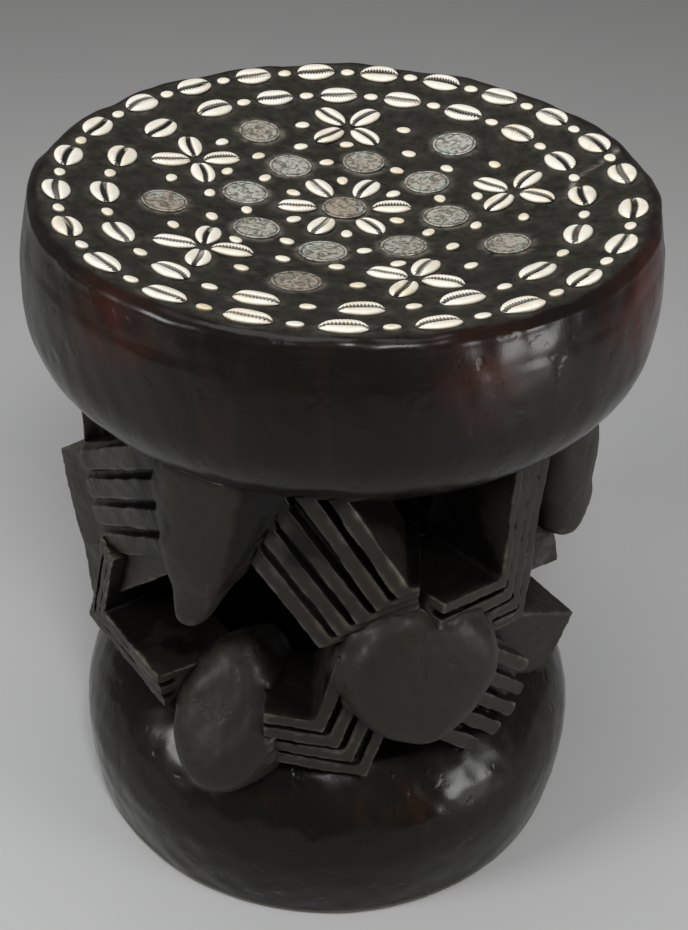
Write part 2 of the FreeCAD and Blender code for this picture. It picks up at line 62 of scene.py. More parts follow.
# %% Colour and node helpers
def colour(code):
    """Linear RGBA of an sRGB hex colour."""
    parts = [int(code[place:place + 2], 16) / 255 for place in (0, 2, 4)]
    linear = [part / 12.92 if part <= 0.04045 else ((part + 0.055) / 1.055) ** 2.4 for part in parts]
    return (*linear, 1.0)


def add(tree, kind, inputs=None, **settings):
    """Adds a node. An input is a value, or another node's output to link."""
    made = tree.nodes.new(kind)
    for name, value in settings.items():
        setattr(made, name, value)
    for socket, value in (inputs or {}).items():
        if isinstance(value, bpy.types.NodeSocket):
            tree.links.new(value, made.inputs[socket])
        else:
            made.inputs[socket].default_value = value
    return made


def new_material(name, stored=()):
    """A new material, its node tree, shader and Object coordinates, and the values it reads from meshes."""
    material = bpy.data.materials.new(name)
    material.use_nodes = True
    tree = material.node_tree
    shader = tree.nodes["Principled BSDF"]
    place = add(tree, "ShaderNodeTexCoord").outputs["Object"]
    marks = {mark: add(tree, "ShaderNodeAttribute", attribute_name=mark).outputs["Fac"] for mark in stored}
    return material, tree, shader, place, marks


def per_mm(size):
    """A texture's scale for features of this many millimetres."""
    return 1 / (size * MM)


# A Mix node has sockets for every kind of value. These are the numbers of its colour sockets.
MIX_A, MIX_B, MIX_RESULT = 6, 7, 2


def coats(tree, ground, layers):
    """Colours laid over a ground. Each layer is the output that says how much it covers, and its hex code."""
    skin = ground
    for cover, code in layers:
        skin = add(tree, "ShaderNodeMix", {"Factor": cover, MIX_A: skin, MIX_B: colour(code)},
                   data_type="RGBA").outputs[MIX_RESULT]
    return skin

# %% [markdown]
# ## Smoked hardwood
# The log was carved green, smoked dark over a fire, and polished by hands and clothes for years. The sides
# are almost black, with red-brown streaks along the grain where the polish is thin, and a satin gloss that
# changes from place to place. Worn edges are a little greyer, and creases and sheltered places are painted
# near black as shade. The dish of the seat is duller: charcoal grey with dust in it, and paler scuffs round
# the coins. Wear, painted shade, dish and scuffs come from values stored on the meshes, so they sit on the
# right edges from every side.

# %% Patterns in the wood
# Dense hardwood, smoked and hand polished: near-black and warm, with a soft gloss and faint tool marks.
hardwood, tree, shader, place, marks = new_material(
    "smoked_hardwood", ["rubbed", "carved", "wear", "hollow", "dish", "scuff"])
GRAIN_STRETCH = 0.13
along_grain = add(tree, "ShaderNodeMapping", {
    "Vector": place, "Scale": (1, 1, GRAIN_STRETCH)}).outputs["Vector"]
# Coordinates, size in mm, detail and roughness of each pattern. Real pores are about 0.2 mm wide, and are
# drawn coarser so that they show.
PATTERNS = {
    "streaks": (along_grain, 26, 5, 0.6), "pores": (along_grain, 1.6, 2, 0.6),
    "clouds": (place, 60, 6, 0.62), "dust": (place, 7, 6, 0.7), "knocks": (place, 11, 2, 0.5),
}
pattern = {
    name: add(tree, "ShaderNodeTexNoise", {
        "Vector": vector, "Scale": per_mm(size), "Detail": detail, "Roughness": roughness}).outputs["Fac"]
    for name, (vector, size, detail, roughness) in PATTERNS.items()}
facets = add(tree, "ShaderNodeTexVoronoi", {
    "Vector": place, "Scale": per_mm(17), "Smoothness": 0.5}, feature="SMOOTH_F1").outputs["Distance"]
print("material", hardwood.name, "reads", sorted(marks))

# %% Wood colours
thin_polish = add(tree, "ShaderNodeMapRange", {
    "Value": pattern["streaks"], "From Min": 0.54, "From Max": 0.74, "To Max": 0.7}).outputs["Result"]
worn = add(tree, "ShaderNodeMath", {0: marks["wear"], 1: pattern["dust"]}, operation="MULTIPLY").outputs[0]
# The last coat, near black, is painted shade in creases and sheltered places, not a colour of the wood.
wood = coats(tree, colour("100e0b"), [
    (thin_polish, "241610"), (marks["rubbed"], "4d1e13"), (marks["carved"], "2c2b25"), (worn, "797264"),
    (marks["hollow"], "0d0b0a")])
dusty = add(tree, "ShaderNodeMapRange", {
    "Value": pattern["dust"], "From Min": 0.35, "From Max": 0.75}).outputs["Result"]
scuffs = add(tree, "ShaderNodeMath", {0: marks["scuff"], 1: dusty}, operation="MULTIPLY").outputs[0]
dish_wood = coats(tree, colour("1f1e1a"), [(dusty, "393730"), (scuffs, "857f75")])
skin = add(tree, "ShaderNodeMix", {
    "Factor": marks["dish"], MIX_A: wood, MIX_B: dish_wood}, data_type="RGBA").outputs[MIX_RESULT]
tree.links.new(skin, shader.inputs["Base Color"])
print("wood colours", len(tree.nodes), "nodes")

# %% Wood gloss and tool marks
DULL_ROUGHNESS = 0.7
gloss = add(tree, "ShaderNodeMapRange", {
    "Value": pattern["clouds"], "From Min": 0.35, "From Max": 0.68,
    "To Min": 0.13, "To Max": 0.34}).outputs["Result"]
matte = add(tree, "ShaderNodeMath", {0: marks["dish"], 1: marks["carved"]}, operation="MAXIMUM").outputs[0]
dull = add(tree, "ShaderNodeMix", {"Factor": matte, 2: gloss, 3: DULL_ROUGHNESS}).outputs[0]
tree.links.new(dull, shader.inputs["Roughness"])
polish = add(tree, "ShaderNodeMapRange", {
    "Value": matte, "From Max": 0.6, "To Min": 0.12, "To Max": 0.0}).outputs["Result"]
tree.links.new(polish, shader.inputs["Coat Weight"])
shader.inputs["Coat Roughness"].default_value = 0.14
shader.inputs["Specular IOR Level"].default_value = 0.15

dents = add(tree, "ShaderNodeMapRange", {
    "Value": pattern["knocks"], "From Min": 0.6, "From Max": 0.72}).outputs["Result"]
grain = add(tree, "ShaderNodeBump", {
    "Height": pattern["pores"], "Strength": 0.5, "Distance": 0.12 * MM}).outputs["Normal"]
knife = add(tree, "ShaderNodeBump", {
    "Height": facets, "Strength": 0.35, "Distance": 1.6 * MM, "Normal": grain}).outputs["Normal"]
dented = add(tree, "ShaderNodeBump", {
    "Height": dents, "Strength": 0.4, "Distance": 0.6 * MM, "Normal": knife}, invert=True).outputs["Normal"]
tree.links.new(dented, shader.inputs["Normal"])
print("material", hardwood.name, len(tree.nodes), "nodes")

# %% [markdown]
# ## Cowrie shell and shell beads
# A cowrie is porcelain-like shell: cream white, smooth and a little glossy, with a dark toothed mouth and
# dirt along its edge. The beads are cut from the same stuff and have gone yellower. One function makes both,
# because only the colours and the gloss differ.

# %% Shell finishes
def shell_finish(name, pale, yellowed, roughness):
    """Worn shell, yellowed in patches, dirty along its edge and black in its mouth."""
    material, tree, shader, place, marks = new_material(name, ["shade", "edge", "mouth"])
    patches = add(tree, "ShaderNodeTexNoise", {
        "Vector": place, "Scale": per_mm(9), "Detail": 4, "Roughness": 0.6}).outputs["Fac"]
    yellowing = add(tree, "ShaderNodeMapRange", {
        "Value": patches, "From Min": 0.4, "From Max": 0.7, "To Max": marks["shade"]}).outputs["Result"]
    skin = coats(tree, colour(pale), [
        (yellowing, yellowed), (marks["edge"], "574d40"), (marks["mouth"], "181513")])
    tree.links.new(skin, shader.inputs["Base Color"])
    # Real scratches are hairlines. They are drawn about a millimetre apart, so that they show.
    scratches = add(tree, "ShaderNodeTexNoise", {
        "Vector": place, "Scale": per_mm(1.1), "Detail": 3}).outputs["Fac"]
    fine = add(tree, "ShaderNodeBump", {"Height": scratches, "Strength": 0.25, "Distance": 0.1 * MM})
    tree.links.new(fine.outputs["Normal"], shader.inputs["Normal"])
    shader.inputs["Roughness"].default_value = roughness
    return material


# Cowrie shell, worn by cloth: cream white with a soft, broad gloss.
cowrie_shell = shell_finish("worn_cowrie_shell", "f3eee2", "e0d3b4", 0.36)
# Cut shell, ground by hand: duller and yellower than the cowries.
bead_shell = shell_finish("yellowed_shell_bead", "f1ebdb", "d6c38f", 0.42)
print("materials", cowrie_shell.name, bead_shell.name)

# %% [markdown]
# ## Coin alloy
# The coins are a pale light alloy, rubbed almost smooth and grown over with grime, so that only blurred
# strokes of relief are left, with green and brown stains. A warped noise gives such strokes. The metal is so
# dirty that most of its light comes from the dirt, which is why it is only partly metallic.

# %% Coin finish
def coin_finish():
    """Struck light alloy, stained and grimy, darker where its relief is low."""
    material, tree, shader, place, marks = new_material("worn_coin_alloy", ["shade", "relief"])
    swirls = add(tree, "ShaderNodeTexNoise", {
        "Vector": place, "Scale": per_mm(7.5), "Detail": 3, "Roughness": 0.55,
        "Distortion": 3.2}).outputs["Fac"]
    stain = add(tree, "ShaderNodeTexNoise", {
        "Vector": place, "Scale": per_mm(12), "Detail": 3}).outputs["Fac"]
    green = add(tree, "ShaderNodeMapRange", {
        "Value": stain, "From Min": 0.5, "From Max": 0.7, "To Max": 0.7}).outputs["Result"]
    grime = add(tree, "ShaderNodeMapRange", {
        "Value": swirls, "From Min": 0.56, "From Max": 0.4, "To Max": 0.85}).outputs["Result"]
    low = add(tree, "ShaderNodeMapRange", {
        "Value": marks["relief"], "From Min": 0.35, "From Max": 0.0}).outputs["Result"]
    tint = coats(tree, colour("ccccc2"), [
        (marks["shade"], "b0a290"), (green, "b7c8bf"), (grime, "565249"), (low, "2c2925")])
    tree.links.new(tint, shader.inputs["Base Color"])
    struck = add(tree, "ShaderNodeBump", {"Height": swirls, "Strength": 0.6, "Distance": 0.35 * MM})
    tree.links.new(struck.outputs["Normal"], shader.inputs["Normal"])
    shader.inputs["Metallic"].default_value = 0.25
    shader.inputs["Roughness"].default_value = 0.46
    return material


# Light alloy, struck and then worn: a dim grey shine under dull stains.
coin_alloy = coin_finish()
print("material", coin_alloy.name)

# %% [markdown]
# ## The carver's hand
# Nothing on the stool was turned on a lathe. Adze and knife left broad swells and small flats everywhere.
# A sum of sine waves in fixed random directions gives such a field for any point in space, and each surface
# is pressed inwards by it, so the stool never grows past its measured size.

# %% Uneven surfaces
def swells(points, seed, wavelength, waves=16):
    """A smooth field from 0 to 1 over points in metres, with swells about one wavelength in mm across."""
    draw = np.random.default_rng(seed)
    heading = draw.normal(size=(waves, 3))
    heading /= np.linalg.norm(heading, axis=1, keepdims=True)
    numbers = 2 * np.pi * heading / (wavelength * MM * draw.uniform(0.7, 1.5, (waves, 1)))
    field = np.sin(points @ numbers.T + draw.uniform(0, 2 * np.pi, waves)).sum(axis=1)
    return np.clip(0.5 + field / (2.2 * math.sqrt(waves)), 0, 1)


def vertex_values(mesh, kind):
    """Vertex places or normals of a mesh, one row each."""
    values = np.zeros(len(mesh.vertices) * 3, np.float32)
    if kind == "co":
        mesh.vertices.foreach_get("co", values)
    else:
        mesh.vertex_normals.foreach_get("vector", values)
    return values.reshape(-1, 3).astype(float)


def press_in(mesh, depth):
    """Moves each vertex against its normal by depth, in metres."""
    moved = vertex_values(mesh, "co") - vertex_values(mesh, "normal") * depth[:, None]
    mesh.vertices.foreach_set("co", moved.astype(np.float32).ravel())
    mesh.update()

# %% [markdown]
# ## Worn edges and painted shade
# Hands rub the dark skin off an edge, and creases, where shade falls, are painted darker. An edge stands out
# from the middle of its neighbours on the mesh, and a crease lies below it, so that difference tells them
# apart. Both are stored on the mesh as plain numbers, which a material reads by name.

# %% Store values and finish a piece
# How far a bend has to go before wear or painted crease shade shows, and the share of blocked sight lines at
# which the painted shade of sheltered places starts and over which it darkens.
WEAR_START, CREASE_SHADE_START, SHELTER_SHADE_START, SHELTER_SHADE_RANGE = 0.25, 0.2, 0.26, 0.42
EDGE_PASSES, SHELTER_SHADE_PASSES = 2, 20


def store(mesh, name, values):
    """Stores one value per vertex for a material to read."""
    attribute = mesh.attributes.new(name, "FLOAT", "POINT")
    attribute.data.foreach_set("value", np.asarray(values, np.float32))


def store_wear_and_shade(mesh, bend, shut):
    """Stores worn edges, and painted shade in creases and sheltered places. bend is in metres, and shut is how
    far each vertex is shut in.
    """
    places, normals = vertex_values(mesh, "co"), vertex_values(mesh, "normal")
    edges = np.zeros(len(mesh.edges) * 2, np.int64)
    mesh.edges.foreach_get("vertices", edges)
    first, second = edges.reshape(-1, 2).T
    size = len(places)
    count = np.bincount(first, minlength=size) + np.bincount(second, minlength=size)

    def around(values):
        total = np.bincount(first, values[second], size) + np.bincount(second, values[first], size)
        return total / np.maximum(count, 1)

    middle = np.stack([around(places[:, axis]) for axis in range(3)], axis=1)
    lift = ((middle - places) * normals).sum(axis=1)
    for _ in range(EDGE_PASSES):
        lift = (lift + around(lift)) / 2
    for _ in range(SHELTER_SHADE_PASSES):
        shut = (shut + around(shut)) / 2
    # Painted shade: sheltered places and concave creases are darkened in colour, as if shade fell there.
    shelter_shade = np.clip((shut - SHELTER_SHADE_START) / SHELTER_SHADE_RANGE, 0, 1)
    store(mesh, "wear", np.clip(-lift / bend - WEAR_START, 0, 1) * (1 - shelter_shade))
    store(mesh, "hollow", np.maximum(np.clip(lift / bend - CREASE_SHADE_START, 0, 1), shelter_shade))


def finish_piece(name, mesh, material, nodes):
    """Puts a finished mesh in the scene, on the stool's one body, in place of its CAD nodes."""
    mesh.materials.clear()
    mesh.materials.append(material)
    mesh.shade_smooth()
    piece = bpy.data.objects.new(name, mesh)
    bpy.context.scene.collection.objects.link(piece)
    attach(piece, "root")
    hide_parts(*nodes)
    return piece

# %% [markdown]
# ## Seat and base
# Both are round, so each is a profile swept round the stool's axis, with close rings where the light shows
# every bump. The profile repeats the CAD sizes in mm. The sweep is then pressed in by the carver's swells.

# %% Round forms
SEAT_TOP, SEAT_RADIUS, SEAT_BULGE, SEAT_UNDERSIDE, SEAT_UNDERSIDE_RADIUS = 421, 175, 362, 313, 135
DISH_RADIUS, DISH_DEPTH, RIM_ROUNDING = 161.5, 19, 7
BASE_TOP, BASE_RADIUS, BASE_BULGE, BASE_FOOT_RADIUS, BASE_TOP_RADIUS = 106.5, 164, 44, 159.5, 129
DISH_CURVE = (DISH_RADIUS ** 2 + DISH_DEPTH ** 2) / (2 * DISH_DEPTH)
DISH_CENTRE = SEAT_TOP - DISH_DEPTH + DISH_CURVE


def dish_height(radius):
    """Height of the dish at a distance from the axis, in mm."""
    return DISH_CENTRE - math.sqrt(DISH_CURVE ** 2 - radius ** 2)


def bulge(radius, height, far_radius, far_height, steps):
    """Points of the arc from the widest place, level with the arc's centre, to a far end."""
    across, rise = radius - far_radius, far_height - height
    curve = (across ** 2 + rise ** 2) / (2 * across)
    sweep = math.asin(rise / curve)
    turns = [sweep * step / steps for step in range(steps + 1)]
    return [(radius - curve + curve * math.cos(turn), height + curve * math.sin(turn)) for turn in turns]


def turned(name, profile, segments):
    """The mesh of a profile, from axis to axis, swept round Z. Radii and heights are in mm."""
    turns = np.arange(segments) * 2 * np.pi / segments
    rings = profile[1:-1]
    vertices = [(0, 0, profile[0][1] * MM), (0, 0, profile[-1][1] * MM)]
    for radius, height in rings:
        x, y = radius * MM * np.sin(turns), -radius * MM * np.cos(turns)
        vertices += list(zip(x, y, np.full(segments, height * MM)))
    faces = []
    for step in range(segments):
        after = (step + 1) % segments
        faces.append((0, 2 + step, 2 + after))
        for ring in range(len(rings) - 1):
            here, there = 2 + ring * segments, 2 + (ring + 1) * segments
            faces.append((here + step, there + step, there + after, here + after))
        last = 2 + (len(rings) - 1) * segments
        faces.append((last + step, 1, last + after))
    mesh = bpy.data.meshes.new(name)
    mesh.from_pydata(vertices, [], faces)
    shape = bmesh.new()
    shape.from_mesh(mesh)
    bmesh.ops.recalc_face_normals(shape, faces=shape.faces)
    shape.to_mesh(mesh)
    shape.free()
    return mesh

# %% Sweep the seat and the base
SEAT_SEGMENTS, BASE_SEGMENTS = 480, 360
DISH_RINGS, RIM_RINGS, UPPER_STEPS, LOWER_STEPS, UNDERSIDE_RINGS = 130, 9, 22, 26, 12
BOTTOM_RINGS, WALL_STEPS, SHOULDER_STEPS, FLOOR_RINGS = 8, 18, 34, 20
RIM_START, FOOT_EDGE = 0.15, 3
rim_radius, rim_foot = DISH_RADIUS + RIM_ROUNDING, SEAT_TOP - RIM_ROUNDING
dish = [(radius, dish_height(radius)) for radius in np.linspace(0, DISH_RADIUS, DISH_RINGS)]
rim = [(DISH_RADIUS + RIM_ROUNDING * math.sin(turn), SEAT_TOP - RIM_ROUNDING * (1 - math.cos(turn)))
       for turn in np.linspace(RIM_START, math.pi / 2, RIM_RINGS)]
upper_side = bulge(SEAT_RADIUS, SEAT_BULGE, rim_radius, rim_foot, UPPER_STEPS)[::-1]
lower_side = bulge(SEAT_RADIUS, SEAT_BULGE, SEAT_UNDERSIDE_RADIUS, SEAT_UNDERSIDE, LOWER_STEPS)
underside = [(radius, SEAT_UNDERSIDE) for radius in np.linspace(SEAT_UNDERSIDE_RADIUS, 0, UNDERSIDE_RINGS)]
seat_profile = dish + rim + upper_side[1:] + lower_side[1:] + underside[1:]
seat_mesh = turned("worn_seat", seat_profile, SEAT_SEGMENTS)

base_bottom = [(radius, 0) for radius in np.linspace(0, BASE_FOOT_RADIUS - FOOT_EDGE, BOTTOM_RINGS)]
base_wall = bulge(BASE_RADIUS, BASE_BULGE, BASE_FOOT_RADIUS, 0, WALL_STEPS)[::-1]
base_shoulder = bulge(BASE_RADIUS, BASE_BULGE, BASE_TOP_RADIUS, BASE_TOP, SHOULDER_STEPS)
base_floor = [(radius, BASE_TOP) for radius in np.linspace(BASE_TOP_RADIUS, 0, FLOOR_RINGS)]
base_profile = base_bottom + base_wall[1:] + base_shoulder[1:] + base_floor[1:]
base_mesh = turned("worn_base", base_profile, BASE_SEGMENTS)
print("seat faces", len(seat_mesh.polygons), "base faces", len(base_mesh.polygons))

# %% [markdown]
# ## Where the inlay lies
# The CAD nodes say where every shell, bead and coin sits. Each node's loose solids are found by walking the
# merged mesh, and each solid gives a middle, a length, a width and a heading on the dish.

# %% Take a node's solids apart
def merged_copy(node):
    """A CAD node's mesh as one connected bmesh."""
    shape = bmesh.new()
    shape.from_mesh(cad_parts[node].data)
    bmesh.ops.remove_doubles(shape, verts=shape.verts, dist=0.001 * MM)
    return shape


def loose_solids(node):
    """Vertex places of each solid of a node, in the mesh's own order, so that every run finds the same."""
    shape = merged_copy(node)
    seen = set()
    solids = []
    for start in shape.verts:
        if start in seen:
            continue
        seen.add(start)
        front, found = [start], []
        while front:
            vertex = front.pop()
            found.append(vertex.co.copy())
            for edge in vertex.link_edges:
                other = edge.other_vert(vertex)
                if other not in seen:
                    seen.add(other)
                    front.append(other)
        solids.append(np.array(found))
    shape.free()
    return sorted(solids, key=lambda solid: math.atan2(solid[:, 0].mean(), -solid[:, 1].mean()))

# %% Read the inlay places
SHELL_SINK, BEAD_SINK, COIN_SINK = 3.0, 2.0, 1.5
# A fitted line has no direction of its own, so every heading is turned to this side.
HEADING_SIDE = Vector((1, 0.37, 0))


def seats_of(node, sink):
    """Place on the dish, axes, length and width of each solid. sink is its depth in the wood, in mm."""
    seats = []
    for solid in loose_solids(node):
        middle = Vector(solid.mean(axis=0))
        up = (Vector((0, 0, DISH_CENTRE * MM)) - middle).normalized()
        flat = solid - np.outer(solid @ np.array(up), np.array(up))
        flat = flat - flat.mean(axis=0)
        heading = Vector(np.linalg.svd(flat, full_matrices=False)[2][0])
        heading = (heading - up * heading.dot(up)).normalized()
        heading = -heading if heading.dot(HEADING_SIDE) < 0 else heading
        side = up.cross(heading)
        reach = solid @ np.array([heading, side, up]).T
        low, high = reach.min(axis=0), reach.max(axis=0)
        centre = heading * ((low[0] + high[0]) / 2) + side * ((low[1] + high[1]) / 2)
        seats.append({
            "place": centre + up * (low[2] + sink * MM), "heading": heading, "side": side, "up": up,
            "length": high[0] - low[0], "width": high[1] - low[1]})
    return seats


inlay_nodes = {}
for node in sorted(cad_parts):
    if node.endswith("_beads"):
        inlay_nodes[node] = ("bead", seats_of(node, BEAD_SINK))
    elif "coin" in node:
        inlay_nodes[node] = ("coin", seats_of(node, COIN_SINK))
    elif "shell_ring" in node or "rosette" in node:
        inlay_nodes[node] = ("shell", seats_of(node, SHELL_SINK))
print(len(inlay_nodes), "inlay nodes hold", sum(len(seats) for kind, seats in inlay_nodes.values()), "pieces")

# %% [markdown]
# ## Painted shade in the shelter
# Places deep in the carving, where shade falls, are painted darker. From every point of the wood a few sight
# lines look outwards. Where most of them soon meet wood again, the place is sheltered and gets painted shade.
# Being stored on the mesh, it looks the same under any light.

# %% Look for sheltered places
LOOK_START, LOOK_REACH = 2 * MM, 160 * MM
# Lean from the surface's normal and turn about it in degrees, and the weight of each sight line.
LOOKS = [(0, 0, 0.28), (50, 45, 0.18), (50, 135, 0.18), (50, 225, 0.18), (50, 315, 0.18)]
wood_nodes = [node for node in sorted(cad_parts) if node not in inlay_nodes]
wood_points, wood_triangles = [], []
for node in wood_nodes:
    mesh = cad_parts[node].data
    mesh.calc_loop_triangles()
    first = len(wood_points)
    wood_triangles += [[first + corner for corner in face.vertices] for face in mesh.loop_triangles]
    wood_points += [vertex.co.copy() for vertex in mesh.vertices]
all_wood = BVHTree.FromPolygons(wood_points, wood_triangles)


def shut_in(mesh, below=math.inf):
    """How far each vertex lower than a height in metres is shut in by wood, from 0 in the open to 1."""
    places, normals = vertex_values(mesh, "co"), vertex_values(mesh, "normal")
    shut = np.zeros(len(places))
    low = np.flatnonzero(places[:, 2] < below)
    places, normals = places[low], normals[low]
    beside = np.cross(normals, np.where(np.abs(normals[:, 2:]) < 0.9, [[0, 0, 1]], [[1, 0, 0]]))
    beside /= np.linalg.norm(beside, axis=1, keepdims=True)
    across = np.cross(normals, beside)
    starts = (places + normals * LOOK_START).tolist()
    for lean, turn, weight in LOOKS:
        lean, turn = math.radians(lean), math.radians(turn)
        aims = normals * math.cos(lean) + (beside * math.cos(turn) + across * math.sin(turn)) * math.sin(lean)
        met = [all_wood.ray_cast(start, aim, LOOK_REACH)[0] is not None
               for start, aim in zip(starts, aims.tolist())]
        shut[low] += weight * np.array(met)
    return shut


print("wood triangles", len(wood_triangles))

# %% [markdown]
# ## Wear on the seat
# The rim is dented by knocks, and a drying crack runs in from the right. Both are pressed into the mesh.
# The dull dish is told apart from the polished sides by a ragged value that fades over the rim. Setting the
# coins scuffed the wood round them, and the shells and beads left fainter marks. In some places the sides
# are rubbed red.

# %% Press in the seat
# Sizes are in mm: how wide and how deep the swells, the knife's flats and the rim's dents are.
BROAD_SWELL, BROAD_DEPTH, KNIFE_FLAT, KNIFE_DEPTH = 70, 0.9, 15, 0.35
RIM_WAVE, RIM_DENT = 26, 1.3
# The crack as points across the seat, how wide and deep it is, and how strongly dust marks it.
CRACK = [(153, 51), (143.5, 40), (134.5, 31.5), (126, 22.5), (119, 4)]
CRACK_WIDTH, CRACK_DEPTH, CRACK_DUST = 1.5, 0.7, 1.7


def from_line(points, line):
    """Distance in mm of points in metres from a line of (x, y) corners in mm."""
    flat = points[:, :2] / MM
    nearest = np.full(len(flat), np.inf)
    for start, end in zip(np.array(line[:-1], float), np.array(line[1:], float)):
        run = end - start
        share = np.clip((flat - start) @ run / (run @ run), 0, 1)
        nearest = np.minimum(nearest, np.linalg.norm(flat - start - share[:, None] * run, axis=1))
    return nearest


seat_places = vertex_values(seat_mesh, "co")
seat_reach = np.hypot(seat_places[:, 0], seat_places[:, 1]) / MM
on_top = seat_places[:, 2] / MM > SEAT_TOP - DISH_DEPTH - 2
on_rim = on_top * np.exp(-((seat_reach - DISH_RADIUS - RIM_ROUNDING / 2) / RIM_ROUNDING) ** 2)
cracked = on_top * np.exp(-(from_line(seat_places, CRACK) / CRACK_WIDTH) ** 2)
depth = BROAD_DEPTH * swells(seat_places, 11, BROAD_SWELL) + KNIFE_DEPTH * swells(seat_places, 12, KNIFE_FLAT)
dent = RIM_DENT * on_rim * swells(seat_places, 15, RIM_WAVE)
press_in(seat_mesh, MM * (depth + dent + CRACK_DEPTH * cracked))
print("seat pressed in by at most", round(float((depth + dent).max()), 2), "mm")

# %% Mark the dish and its scuffs
DISH_FADE, RAGGED_EDGE, RAGGED_WAVE = 3, 3, 22
SCUFF = {"shell": 0.25, "bead": 0.2, "coin": 1}
SCUFF_WIDTH = 2.2
ragged = RAGGED_EDGE * swells(seat_places, 13, RAGGED_WAVE)
in_dish = np.clip((DISH_RADIUS + 2.5 - ragged - seat_reach) / DISH_FADE, 0, 1)
store(seat_mesh, "dish", np.where(on_top, in_dish, 0))
scuffed = CRACK_DUST * cracked
for kind, seat in [(kind, seat) for kind, seats in inlay_nodes.values() for seat in seats]:
    offset = seat_places - np.array(seat["place"])
    across = offset @ np.array(seat["heading"]) / (seat["length"] / 2)
    beside = offset @ np.array(seat["side"]) / (seat["width"] / 2)
    gap = (np.hypot(across, beside) - 1) * seat["width"] / 2 / MM
    scuffed = np.maximum(scuffed, SCUFF[kind] * np.exp(-(np.clip(gap, 0, None) / SCUFF_WIDTH) ** 2))
store(seat_mesh, "scuff", np.where(on_top, scuffed, 0))
print("share of the seat that is dish", round(float(np.mean(on_top * in_dish)), 2))

# %% Rub and dress the seat
SEAT_DULLNESS = 0.05
ROUND_BEND = 0.3 * MM
# Bearing in degrees, height in mm, spread in degrees and strength of each place where the sides are rubbed.
RUBBED = [(62, 399, 10, 0.75), (23, 403, 8, 0.35), (-39, 405, 8, 0.35), (150, 400, 12, 0.5),
          (-120, 398, 10, 0.5)]
RUBBED_HEIGHT, RUBBED_WAVE = 24, 16
rubbed = np.zeros(len(seat_places))
bearing = np.degrees(np.arctan2(seat_places[:, 0], -seat_places[:, 1]))
for centre, level, spread, strength in RUBBED:
    turn_away = (bearing - centre + 180) % 360 - 180
    rubbed = np.maximum(rubbed, strength * np.exp(
        -(turn_away / spread) ** 2 - ((seat_places[:, 2] / MM - level) / RUBBED_HEIGHT) ** 2))
store(seat_mesh, "rubbed", rubbed * (0.4 + 0.6 * swells(seat_places, 14, RUBBED_WAVE)))
store(seat_mesh, "carved", np.full(len(seat_places), SEAT_DULLNESS))
store_wear_and_shade(seat_mesh, ROUND_BEND, shut_in(seat_mesh, SEAT_BULGE * MM))
finish_piece("worn_seat", seat_mesh, hardwood, ["seat"])
print("seat dressed")

# %% [markdown]
# ## Finish the base
# The base gets broader swells than the seat. They fade out over the lowest few millimetres, so that it still
# stands flat on the floor.

# %% Dress the base
BASE_SWELL, BASE_DEPTH, BASE_KNIFE_DEPTH, FOOT_FADE = 80, 1.2, 0.4, 6
base_places = vertex_values(base_mesh, "co")
off_floor = np.clip(base_places[:, 2] / MM / FOOT_FADE, 0, 1)
depth = BASE_DEPTH * swells(base_places, 21, BASE_SWELL)
depth = depth + BASE_KNIFE_DEPTH * swells(base_places, 22, KNIFE_FLAT)
press_in(base_mesh, MM * depth * off_floor)
store_wear_and_shade(base_mesh, ROUND_BEND, shut_in(base_mesh))
finish_piece("worn_base", base_mesh, hardwood, ["base"])
print("base pressed in by at most", round(float((depth * off_floor).max()), 2), "mm")

# %% [markdown]
# ## The wall of spiders
# Each carving starts as a copy of its CAD solid. Where it meets a neighbour, its touching corners are pushed
# a little into that neighbour, so that no seam opens between pieces that are really one log. A fine voxel
# remesh and a few smoothing passes then round every edge as a knife and long use would, and the carver's
# swells make the flats uneven.

# %% Root each carving in its neighbours
TOUCH, PUSH = 0.25 * MM, 2.4 * MM


def skin_of(node):
    """A node's faces, ready for finding the nearest one to a point."""
    shape = merged_copy(node)
    skin = BVHTree.FromBMesh(shape)
    shape.free()
    return skin


skins = {node: skin_of(node) for node in wood_nodes}
boxes = {node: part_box(node) for node in wood_nodes}


def near(node, other):
    """Whether two nodes' boxes touch."""
    (low, high), (other_low, other_high) = boxes[node], boxes[other]
    return all(low[axis] <= other_high[axis] + TOUCH and other_low[axis] <= high[axis] + TOUCH
               for axis in range(3))


def rooted_mesh(node):
    """A copy of a carving whose touching corners run into its neighbours."""
    shape = merged_copy(node)
    neighbours = [skins[other] for other in wood_nodes if other != node and near(node, other)]
    pushes = []
    for vertex in shape.verts:
        push = Vector()
        for skin in neighbours:
            spot, normal, *_ = skin.find_nearest(vertex.co, TOUCH)
            if spot is not None:
                push -= normal
        pushes.append(push.normalized() * PUSH if push.length > TOUCH else Vector())
    for vertex, push in zip(shape.verts, pushes):
        vertex.co += push
    mesh = bpy.data.meshes.new(node)
    shape.to_mesh(mesh)
    shape.free()
    return mesh


print("wooden nodes", len(wood_nodes))

# %% Soften a carving
def evaluated_mesh(source):
    """A plain mesh of an object with its modifiers applied. The object itself goes."""
    source_mesh = source.data
    graph = bpy.context.evaluated_depsgraph_get()
    mesh = bpy.data.meshes.new_from_object(source.evaluated_get(graph))
    bpy.data.objects.remove(source)
    bpy.data.meshes.remove(source_mesh)
    return mesh


def softened(mesh, voxel, passes):
    """A remeshed copy with rounded edges."""
    source = bpy.data.objects.new("block", mesh)
    bpy.context.scene.collection.objects.link(source)
    remesh = source.modifiers.new("remesh", "REMESH")
    remesh.mode = "VOXEL"
    remesh.voxel_size = voxel
    smooth = source.modifiers.new("smooth", "SMOOTH")
    smooth.factor = 0.5
    smooth.iterations = passes
    return evaluated_mesh(source)

# %% [markdown]
# ## Carve all the wall
# The legs are thin, so they get finer voxels and fewer smoothing passes than the bodies. The left hanging
# body has a ridge down its face, like a tooth. Its two flats are pressed in, and each falls away from the
# ridge at its own slope.

